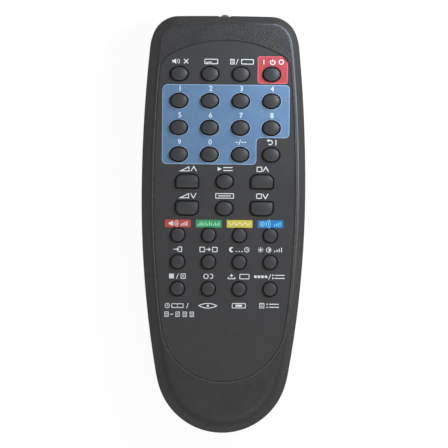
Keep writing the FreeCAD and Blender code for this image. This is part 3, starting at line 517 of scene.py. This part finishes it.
def battery_finish(name, cell, raised_end):
    """Steel can in a printed sleeve: a broad band, a thin ring, and bare metal at both ends."""
    low, high = [corner.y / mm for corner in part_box(cell)]
    finish = Finish(name, tone(28, 60, 112), tone(38, 74, 130), 14, specular=0.5, coat=0.4)
    tree = finish.tree
    share = maths(tree, "DIVIDE", maths(tree, "SUBTRACT", along(tree, 1), low), high - low)
    share = share if raised_end > 0 else rest_of(tree, share)
    finish.paint(between(tree, share, *cell_band, 0.002), tone(196, 150, 62))
    finish.paint(between(tree, share, *cell_ring, 0.002), tone(232, 232, 230))
    bare = maths(tree, "ADD", *[between(tree, share, *end, 0.001) for end in cell_bare_ends])
    finish.paint(bare, tone(188, 188, 186))
    tree.links.new(bare, finish.shader.inputs["Metallic"])
    return finish.done(0.22, 0.34, grain_size=0.5, relief=0.004)


def resistor_finish():
    """Beige lacquer with four coloured rings, and tinned leads."""
    finish = Finish("resistor_lacquer", tone(196, 168, 122), tone(210, 184, 140), 3, specular=0.5)
    tree = finish.tree
    place = along(tree, 0)
    for middle in (resistor_x, -resistor_x):
        for offset, colour in resistor_rings:
            centre = middle + offset
            finish.paint(between(tree, place, centre - ring_half, centre + ring_half), tone(*colour))
        for side in (-1, 1):
            centre = middle + side * lead_middle
            finish.paint(between(tree, place, centre - lead_half, centre + lead_half), tone(190, 190, 188))
    return finish.done(0.25, 0.38, grain_size=0.4, relief=0.004)


finishes = {
    "case": case_finish(),
    "film": film_finish(),
    "key": key_finish(),
    "mat": plain_finish("mat_rubber", (70, 70, 72), (84, 84, 86), 0.5, 0.65),
    "board": board_finish(),
    "carbon": plain_finish("carbon_print", (22, 22, 24), (34, 34, 36), 0.5, 0.7, cloud=2),
    "chip": plain_finish("chip_resin", (30, 30, 32), (40, 40, 42), 0.45, 0.6, cloud=4, worn=(92, 92, 92)),
    "resonator": plain_finish("resonator_resin", (206, 122, 34), (222, 142, 52), 0.25, 0.4,
                              worn=(236, 190, 120)),
    "capacitor": plain_finish("capacitor_sleeve", (30, 40, 78), (40, 54, 98), 0.25, 0.38,
                              worn=(120, 126, 150)),
    "resistor": resistor_finish(),
    "disc": plain_finish("disc_ceramic", (190, 140, 60), (206, 158, 76), 0.3, 0.45, cloud=2),
    "tinned_wire": plain_finish("tinned_wire", (186, 186, 184), (206, 206, 204), 0.25, 0.4, metallic=1.0),
    "led": led_finish(),
    "screw": plain_finish("zinc_plating", (150, 152, 150), (182, 184, 180), 0.25, 0.42,
                          worn=(220, 220, 216), metallic=1.0),
    "contact": plain_finish("nickel_plating", (176, 172, 164), (204, 200, 192), 0.2, 0.34,
                            worn=(226, 224, 216), metallic=1.0),
}
back = back_finish()
own_finishes = {
    "lower_case": back,
    "battery_cover": back,
    "battery_left": battery_finish("battery_sleeve_left", "battery_left", 1),
    "battery_right": battery_finish("battery_sleeve_right", "battery_right", -1),
}

for part in frame["record"]["subparts"]:
    node = nodes[part["node"]]
    finish = own_finishes.get(part["node"]) or finishes[part["material_slot"]]
    node.data.materials.clear()
    node.data.materials.append(finish)


# Printed fields on the film

key_clearance = 0.45
oval_width, oval_height, oval_end = 6.7, 5.5, 2.45
field_margin = 0.06
ring_width = 0.2
front_row, first_row, second_row, third_row = [
    key_place(key)[1] for key in ("key_power", "key_1", "key_5", "key_9")
]
field_above, field_below = 6.43, 3.89
field_left, field_right = -24.9, 25.5
field_top, field_bottom = first_row + field_above, third_row - field_below
notch_left, notch_top = 12.5, second_row - field_below
field_corner, chamfered_corner = 1.7, 2.2
border_width = 0.26
# Insets from the film's edge where the painted shade line along it starts and ends
border_start, film_edge_shade = 0.02, 0.45
power_left, power_right, power_bottom, power_top = 12.75, 24.6, front_row - 3.6, front_row + 7.1
power_corner = 0.8
# Centre and radius of the film's front right corner
panel_corner = (18.22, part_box("face_film")[1].y / mm - 12.65, 7.6)
tab_width, tab_height, tab_above_key = 10.2, 3.0, 4.52
tab_corner = 0.25

number_keys = ["key_" + word for word in "1 2 3 4 5 6 7 8 9 0 digits".split()]


def oval(key, grow):
    """The key's own outline, grown all round."""
    x, y = key_place(key)
    half_long, half_short, end = oval_width / 2 + grow, oval_height / 2 + grow, oval_end + grow
    offset = half_long - end
    long_radius = (offset ** 2 + half_short ** 2 - end ** 2) / (2 * (half_short - end))
    rise = long_radius - half_short
    tip = atan2(rise, offset) * 180 / pi
    loop = arc((x + offset, y), end, -tip, tip)[:-1]
    loop += arc((x, y - rise), long_radius, tip, 180 - tip)[:-1]
    loop += arc((x - offset, y), end, 180 - tip, 180 + tip)[:-1]
    loop += arc((x, y + rise), long_radius, 180 + tip, 360 - tip)[:-1]
    return loop


def number_field(inset):
    """Outline of the blue field: a rectangle with one corner left out."""
    left, right, notch = field_left + inset, field_right - inset, notch_left - inset
    bottom, step, top = field_bottom + inset, notch_top + inset, field_top - inset
    near = field_corner - inset
    return rounded([
        (left, bottom, near), (notch, bottom, near), (notch, step, field_corner + inset),
        (right, step, near), (right, top, near), (left, top, chamfered_corner - inset),
    ])


def film_edge(inset):
    """The film's own outline, drawn in; it bulges outwards all round."""
    corners = [vertex.co.xy / mm for vertex in nodes["face_film"].data.vertices]
    hull = [corners[number] for number in convex_hull_2d(corners)]
    loop = []
    for before, corner, after in zip(hull[-1:] + hull, hull, hull[1:] + hull[:1]):
        way = (after - before).normalized()
        inward = Vector((-way.y, way.x))
        inward *= -1 if inward.dot(corner) > 0 else 1
        loop.append(tuple(corner + inward * inset))
    return loop


def power_field(inset):
    """Outline of the red field: its upper right corner follows the corner of the sunk panel."""
    low_x, high_x = power_left + inset, power_right - inset
    low_y, high_y = power_bottom + inset, power_top - inset
    corner = power_corner - inset
    centre_x, centre_y, radius = panel_corner
    radius -= inset
    first = acos((high_x - centre_x) / radius) * 180 / pi
    last = asin((high_y - centre_y) / radius) * 180 / pi
    return (
        arc((low_x + corner, low_y + corner), corner, 180, 270, 6)
        + arc((high_x - corner, low_y + corner), corner, 270, 360, 6)
        + arc((centre_x, centre_y), radius, first, last, 8)
        + arc((low_x + corner, high_y - corner), corner, 90, 180, 6)
    )


blue_ink = ink_finish("blue_field_ink", tone(93, 126, 162), tone(109, 142, 178))
pale_ink = ink_finish("pale_line_ink", tone(152, 180, 215), tone(165, 193, 225))
red_ink = ink_finish("red_field_ink", tone(180, 60, 67), tone(193, 75, 79))
digit_ink = ink_finish("pale_digit_ink", tone(215, 233, 249), tone(227, 244, 250))
white_ink = ink_finish("white_legend_ink", tone(238, 244, 249), tone(246, 250, 253))
tab_inks = {
    "key_red": ink_finish("red_tab_ink", tone(195, 73, 62), tone(208, 88, 77)),
    "key_green": ink_finish("green_tab_ink", tone(54, 157, 99), tone(69, 172, 116)),
    "key_yellow": ink_finish("yellow_tab_ink", tone(215, 200, 71), tone(227, 215, 90)),
    "key_blue": ink_finish("blue_tab_ink", tone(34, 122, 195), tone(47, 137, 210)),
}
# Ink for the painted shade line along the film's edge
edge_shade_ink = ink_finish("painted_shade_line_ink", tone(12, 12, 14), tone(20, 20, 22))
rose_ink = ink_finish("rose_line_ink", tone(249, 103, 120), tone(250, 118, 133))
cyan_ink = ink_finish("cyan_mark_ink", tone(120, 221, 250), tone(142, 234, 250))
mint_ink = ink_finish("mint_mark_ink", tone(161, 238, 193), tone(180, 247, 208))
cream_ink = ink_finish("cream_mark_ink", tone(238, 236, 190), tone(246, 244, 206))

holes = [oval(key, key_clearance + field_margin) for key in number_keys]
hole_rings = [oval(key, key_clearance + field_margin + ring_width) for key in number_keys]
flat_print("number_field", [number_field(border_width)] + hole_rings, film_top, blue_ink, field_ink)
flat_print("number_field_border", [number_field(0), number_field(border_width)],
           film_top, pale_ink, field_ink)
for key, hole, around in zip(number_keys, holes, hole_rings):
    flat_print("number_field_ring_" + key, [around, hole], film_top, pale_ink, field_ink)

# Painted shade: a thin dark line round the film's edge, standing for the shade in the step down from the case
flat_print("film_edge_shade", [film_edge(border_start), film_edge(film_edge_shade)],
           film_top, edge_shade_ink, field_ink)
flat_print("power_field", [power_field(border_width), oval("key_power", key_clearance + field_margin)],
           film_top, red_ink, field_ink)
flat_print("power_field_border", [power_field(0), power_field(border_width)],
           film_top, rose_ink, field_ink)

for key, ink in tab_inks.items():
    x, y = key_place(key)
    wide, high, middle = tab_width / 2, tab_height / 2, y + tab_above_key
    loop = panel(x - wide, middle - high, x + wide, middle + high, tab_corner)
    flat_print("tab_" + key, [loop], film_top, ink, field_ink)


# Signs in place of words, drawn in millimetres round their own middle; loops of one sign never overlap

line = 0.36
thin_line = 0.28
sign_half = 1.05


def bar(x1, y1, x2, y2, width=line):
    return [stroke([(x1, y1), (x2, y2)], width)]


def slash(x):
    return bar(x - 0.4, -sign_half, x + 0.4, sign_half, thin_line)


def chevron(x, up, half=1.1):
    return [stroke([(x - half, -0.95 * up), (x, 0.95 * up), (x + half, -0.95 * up)], line)]


def arrow(x, y, way_x, way_y, length):
    """Arrow that ends at x, y and points along a way."""
    way = Vector((way_x, way_y))
    across = Vector((-way_y, way_x))
    tip = Vector((x, y))
    neck = tip - way * 0.9
    head = [tuple(tip), tuple(neck + across * 0.8), tuple(neck - across * 0.8)]
    return [head, stroke([tip - way * length, neck - way * 0.02], line)]


def pointer(x, half=0.8):
    """Small solid triangle that points to the right."""
    return [[(x - half, -half), (x + half, 0), (x - half, half)]]


def speaker(x):
    """Loudspeaker, 2 mm wide."""
    half = [(x - 1.0, 0.45), (x - 0.4, 0.45), (x + 0.6, sign_half)]
    return [half + [(px, -py) for px, py in reversed(half)]]


def waves(x, count, first=0.7):
    return [stroke(arc((x, 0), first + 0.75 * number, -40, 40, 6), thin_line) for number in range(count)]


def crossed(x, reach=1.2, width=0.19):
    """Diagonal cross."""
    quarter = [(width, reach), (width, width), (reach, width)]
    points = []
    for turn in range(4):
        c, s = cos(pi / 4 - turn * pi / 2), sin(pi / 4 - turn * pi / 2)
        points += [(x + px * c - py * s, px * s + py * c) for px, py in quarter]
    return [points]


def screen(x, half):
    return outline(x - half, -sign_half, x + half, sign_half, 0.32, 0.4)


def page(x, half=0.85):
    lines = [bar(x - half * 0.5, y, x + half * 0.5, y, 0.26)[0] for y in (0.32, -0.32)]
    return outline(x - half, -sign_half, x + half, sign_half, 0.27, 0.15) + lines


def listing(x, half):
    """Two lines, each with a dot before it."""
    loops = []
    for y in (0.6, -0.6):
        loops.append(circle(x - half + 0.32, y, 0.32, 12))
        loops += bar(x - half + 1.05, y, x + half, y, line)
    return loops


def wedge(x):
    """Right triangle that rises to the right, drawn with a line, 4.3 mm wide."""
    corners = [Vector((x - 2.15, -sign_half)), Vector((x + 2.15, -sign_half)), Vector((x + 2.15, sign_half))]
    inner = [(x - 0.62, -0.7), (x + 1.8, -0.7), (x + 1.8, 0.48)]
    return [[tuple(corner) for corner in corners], inner]


def moon(x):
    outer = arc((x, 0), sign_half, 40, 320, 16)
    far_side = (x + 0.55, 0)
    radius = ((outer[0][0] - far_side[0]) ** 2 + outer[0][1] ** 2) ** 0.5
    angle = atan2(outer[0][1], outer[0][0] - far_side[0]) * 180 / pi
    return [outer + arc(far_side, radius, 360 - angle, angle, 12)[1:-1]]


def sun(x):
    rays = []
    for number in range(8):
        c, s = cos(number * pi / 4), sin(number * pi / 4)
        rays += bar(x + 0.72 * c, 0.72 * s, x + 1.12 * c, 1.12 * s, 0.26)
    return [circle(x, 0, 0.48, 14)] + rays


def half_disc(x):
    return ring(x, 0, 0.9, thin_line) + [arc((x, 0), 0.6, -90, 90, 10)]


def clock(x):
    return ring(x, 0, 0.9, thin_line) + [stroke([(x, 0.55), (x, -0.05), (x + 0.45, -0.05)], 0.24)]


def eye(half):
    def lens(reach, height):
        radius = (reach ** 2 + height ** 2) / (2 * height)
        angle = asin(reach / radius) * 180 / pi
        upper = arc((0, height - radius), radius, 90 - angle, 90 + angle, 14)
        return upper + [(px, -py) for px, py in reversed(upper[1:-1])]

    return [lens(half, 1.1), lens(half - 0.8, 0.76), circle(0, 0, 0.45, 14)]


def levels(x, heights, gap=0.75):
    """Upright bars of different heights from one base line."""
    low = -0.85
    loops = []
    for number, height in enumerate(heights):
        loops += bar(x + number * gap, low, x + number * gap, low + height)
    return loops


def zigzag(x, count, step):
    return [stroke([(x + number * step, 0.7 * (-1) ** number) for number in range(count)], line)]


signs = {
    "key_mute": speaker(-2.3) + waves(-1.9, 2) + crossed(2.2),
    "key_display": screen(0, 2.7) + bar(-1.9, -0.3, 0.3, -0.3, 0.3),
    "key_text": page(-3.8) + slash(-1.9) + screen(2.2, 2.5),
    "key_power": bar(-3.5, -0.95, -3.5, 0.95) + [stroke(arc((0, -0.12), 0.92, 125, 415, 18), line)]
    + bar(0, 0.05, 0, 1.15) + ring(3.4, 0, 0.88, line),
    "key_digits": bar(-2.05, 0, -1.15, 0) + slash(-0.45) + bar(0.25, 0, 1.05, 0) + bar(1.35, 0, 2.15, 0),
    "key_recall": [stroke(arc((-0.5, 0), 0.85, -140, 120, 14), line)]
    + [[(-2.0, 0.75), (-0.95, 1.35), (-1.0, 0.15)]] + bar(1.75, -sign_half, 1.75, sign_half),
    "key_volume_up": wedge(-1.5) + chevron(2.35, 1),
    "key_volume_down": wedge(-1.5) + chevron(2.35, -1),
    "key_item": pointer(-2.1) + bar(-0.7, 0.6, 3.0, 0.6) + bar(-0.7, -0.6, 3.0, -0.6),
    "key_menu": outline(-3.7, -sign_half, 3.7, sign_half, 0.32) + bar(-2.5, 0, 2.5, 0),
    "key_program_up": screen(-1.15, 1.1) + chevron(1.35, 1),
    "key_program_down": screen(-1.15, 1.1) + chevron(1.35, -1),
    "key_input": arrow(0.6, 0, 1, 0, 2.3)
    + [stroke([(0.1, 0.9), (1.5, 0.9), (1.5, -0.9), (0.1, -0.9)], line)],
    "key_copy": outline(-3.6, -sign_half, -1.4, sign_half, line) + arrow(0.95, 0, 1, 0, 1.9)
    + outline(1.4, -sign_half, 3.6, sign_half, line),
    "key_sleep": moon(-3.0) + [circle(x, -0.7, 0.26, 10) for x in (-1.1, 0.0, 1.1)] + clock(3.0),
    "key_picture": sun(-3.7) + half_disc(-0.5) + levels(1.9, (0.6, 1.0, 1.4, 1.8), 0.9),
    "key_stop": [panel(-3.3, -0.95, -1.4, 0.95)] + slash(0.0) + page(2.3, 1.0),
    "key_mix": ring(-0.85, 0, 0.88, line) + [stroke(arc((1.0, 0), 0.88, -112, 112, 14), line)],
    "key_store": arrow(-2.9, -0.35, 0, -1, 1.4)
    + [stroke([(-4.2, -0.2), (-4.2, -0.87), (-1.6, -0.87), (-1.6, -0.2)], line)] + screen(2.2, 2.0),
    "key_list": [panel(x - 0.5, -0.5, x + 0.5, 0.5) for x in (-5.6, -4.2, -2.8, -1.4)]
    + slash(0.1) + listing(3.5, 2.5),
}
tab_signs = {
    "key_red": speaker(-2.6) + waves(-2.2, 3) + levels(1.3, (0.7, 1.1, 1.5, 1.7)),
    "key_green": levels(-4.2, (0.8, 1.4, 1.7, 1.1, 1.6, 0.9, 1.7, 1.2, 0.7, 1.4, 1.0, 1.6)),
    "key_yellow": zigzag(-4.4, 9, 1.1),
    "key_blue": ring(-3.2, 0, 0.82, 0.32) + [circle(-3.2, 0, 0.3, 10)] + waves(-2.9, 3, 1.4)
    + levels(1.6, (0.7, 1.1, 1.5, 1.7)),
}
tab_marks = {"key_red": white_ink, "key_green": mint_ink, "key_yellow": cream_ink, "key_blue": cyan_ink}
digit_keys = {key: key[-1] for key in number_keys if key[-1].isdigit()}

legend_above_key = 4.93
digit_height = 2.1
# Shift of the legends: in the middle, and for each millimetre of y and of x
drift, drift_by_y, drift_by_x = 0.05, 0.006, 0.004


def print_drift(x, y):
    """The legends drift a little to the right of their keys towards the front, most on the left."""
    return drift + drift_by_y * y - drift_by_x * x


for key, digit in digit_keys.items():
    x, y = key_place(key)
    number_print("digit_" + digit, digit, x + print_drift(x, y), y + legend_above_key, digit_height,
                 film_top, digit_ink, mark_ink)
for key, loops in signs.items():
    x, y = key_place(key)
    loops = shifted(loops, x + print_drift(x, y), y + legend_above_key)
    flat_print("sign_" + key[4:], loops, film_top, white_ink, mark_ink)
for key, loops in tab_signs.items():
    x, y = key_place(key)
    loops = shifted(loops, x, y + tab_above_key)
    flat_print("tab_sign_" + key[4:], loops, film_top, tab_marks[key], mark_ink)

# Second functions of the last row, each with its x and its distance from that row
last_row_signs = {
    "sign_clock": (
        clock(-3.8) + outline(-2.2, -0.9, 2.6, 0.9, 0.3)
        + [circle(0.2, y, 0.2, 8) for y in (-0.35, 0.35)] + slash(4.1),
        -18.4, -6.75,
    ),
    "sign_sub_page": (
        page(-5.6) + bar(-4.1, 0, -3.0, 0) + page(-1.2) + page(1.6) + page(4.4),
        -16.9, -10.15,
    ),
    "sign_reveal": (eye(3.9), -6.2, -6.7),
    "sign_size": (
        outline(-2.75, -sign_half, 2.75, sign_half, 0.32) + [panel(-1.3, -0.45, 1.3, 0.45)],
        6.05, -6.6,
    ),
    "sign_index": (page(-2.9, 1.0) + listing(1.4, 2.5), 18.05, -6.5),
}
last_row = key_place("key_stop")[1]
for name, (loops, x, offset) in last_row_signs.items():
    flat_print(name, shifted(loops, x, last_row + offset), film_top, white_ink, mark_ink)


# Polarity marks on the cells, bent round them

polarity_reach, polarity_half = 1.4, 0.25
plus_from_end, minus_from_end = 7, 6


def wrapped_mark(name, loops, cell, y, finish):
    """Mark on the side of a cell that faces the cover."""
    low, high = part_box(cell)
    centre_x, centre_z = (low.x + high.x) / 2, (low.z + high.z) / 2
    radius = (high.x - low.x) / 2
    piece = flat_print(name, shifted(loops, centre_x / mm, y), 0, finish, mark_ink)
    for vertex in piece.data.vertices:
        angle = (vertex.co.x - centre_x) / radius
        reach = radius + vertex.co.z
        vertex.co.x = centre_x + reach * sin(angle)
        vertex.co.z = centre_z - reach * cos(angle)
    piece.data.flip_normals()


def upright_cross(reach, half):
    """Plus sign, as one loop."""
    quarter = [(half, reach), (half, half), (reach, half)]
    points = []
    for turn in range(4):
        c, s = ((1, 0), (0, -1), (-1, 0), (0, 1))[turn]
        points += [(px * c - py * s, px * s + py * c) for px, py in quarter]
    return [points]


for cell, raised_end in (("battery_left", 1), ("battery_right", -1)):
    low, high = [corner.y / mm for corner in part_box(cell)]
    raised_y, flat_y = (high, low) if raised_end > 0 else (low, high)
    plus = upright_cross(polarity_reach, polarity_half)
    minus = [panel(-polarity_reach, -polarity_half, polarity_reach, polarity_half)]
    wrapped_mark(cell + "_plus", plus, cell, raised_y - raised_end * plus_from_end, white_ink)
    wrapped_mark(cell + "_minus", minus, cell, flat_y + raised_end * minus_from_end, white_ink)


# Floor, lamps, world and camera

floor_bounce = tone(168, 138, 100)
floor_share = 0.1
floor_glow = 0.95
floor_half = 3.0
world_strength = 0.12


def seen_directly(tree):
    """Mask of rays from the camera, also mirrored or through a clear piece."""
    path = put(tree, "ShaderNodeLightPath").outputs
    beyond = maths(tree, "MAXIMUM", path["Is Glossy Ray"], path["Is Transmission Ray"])
    return maths(tree, "MAXIMUM", path["Is Camera Ray"], beyond)


def floor_finish():
    """Pale floor that keeps shadows; seen directly or mirrored it is white."""
    material = bpy.data.materials.new("pale_floor")
    material.use_nodes = True
    tree = material.node_tree
    tree.nodes.clear()
    bounced = put(tree, "ShaderNodeBsdfDiffuse", {"Color": floor_bounce}).outputs[0]
    share = (floor_share, floor_share, floor_share, 1)
    lit = put(tree, "ShaderNodeBsdfDiffuse", {"Color": share}).outputs[0]
    glow = put(tree, "ShaderNodeEmission", {"Color": (1, 1, 1, 1), "Strength": floor_glow}).outputs[0]
    shown = put(tree, "ShaderNodeAddShader", {0: lit, 1: glow}).outputs[0]
    mixed = put(tree, "ShaderNodeMixShader", {0: seen_directly(tree), 1: bounced, 2: shown}).outputs[0]
    put(tree, "ShaderNodeOutputMaterial", {"Surface": mixed})
    return material


floor_mesh = bpy.data.meshes.new("floor")
floor_corners = [(x * floor_half, y * floor_half, 0) for x, y in ((-1, -1), (1, -1), (1, 1), (-1, 1))]
floor_mesh.from_pydata(floor_corners, [], [(0, 1, 2, 3)])
floor_mesh.materials.append(floor_finish())
floor = bpy.data.objects.new("floor", floor_mesh)
bpy.context.scene.collection.objects.link(floor)


def soft_lamp(name, place, target, size, power, colour):
    data = bpy.data.lights.new(name, "AREA")
    data.shape = "DISK"
    data.size = size
    data.energy = power
    data.color = colour
    lamp = bpy.data.objects.new(name, data)
    lamp.location = place
    lamp.rotation_mode = "QUATERNION"
    lamp.rotation_quaternion = (Vector(target) - Vector(place)).to_track_quat("-Z", "Y")
    bpy.context.scene.collection.objects.link(lamp)


soft_lamp("key_lamp", (0.15, 0.09, 0.2), (0, 0.01, 0.02), 0.06, 0.36, (0.97, 0.985, 1.0))
soft_lamp("corner_lamp", (0.062, 0.103, 0.08), (0.032, 0.07, 0.02), 0.03, 0.054, (0.7, 0.87, 1.0))
soft_lamp("tail_lamp", (0.1, -0.22, 0.3), (0, -0.06, 0.02), 0.12, 0.2, (1.0, 0.98, 0.96))
soft_lamp("fill_lamp", (-0.35, -0.5, 0.6), (0, -0.02, 0.02), 0.7, 0.72, (1.0, 0.97, 0.93))

world = bpy.data.worlds.new("studio")
bpy.context.scene.world = world
world.use_nodes = True
world.node_tree.nodes.clear()
strength = spread(world.node_tree, seen_directly(world.node_tree), 0.0, 1.0, world_strength, 1.0)
backdrop = put(world.node_tree, "ShaderNodeBackground", {"Color": (1, 1, 1, 1), "Strength": strength})
put(world.node_tree, "ShaderNodeOutputWorld", {"Surface": backdrop.outputs[0]})

bpy.context.scene.view_settings.view_transform = "Standard"

# Camera: a long lens almost straight above, a little to the left of the remote and turned slightly
picture_width = 0.1778
camera_reach = 3.0
sensor_width = 36
far_limit = 20
lean = radians(2.0)
roll = radians(0.5)
aim = Vector((0.31 * mm, -0.09 * mm, 12 * mm))

camera_data = bpy.data.cameras.new("camera")
camera_data.sensor_width = sensor_width
camera_data.lens = sensor_width * camera_reach / picture_width
camera_data.clip_end = far_limit
camera = bpy.data.objects.new("camera", camera_data)
bpy.context.scene.collection.objects.link(camera)
towards_camera = Vector((-sin(lean), 0, cos(lean)))
right = Vector((-sin(roll), cos(roll), 0)).cross(towards_camera).normalized()
up = towards_camera.cross(right)
turned = Matrix((right, up, towards_camera)).transposed().to_4x4()
camera.matrix_world = Matrix.Translation(aim + towards_camera * camera_reach) @ turned
bpy.context.scene.camera = camera
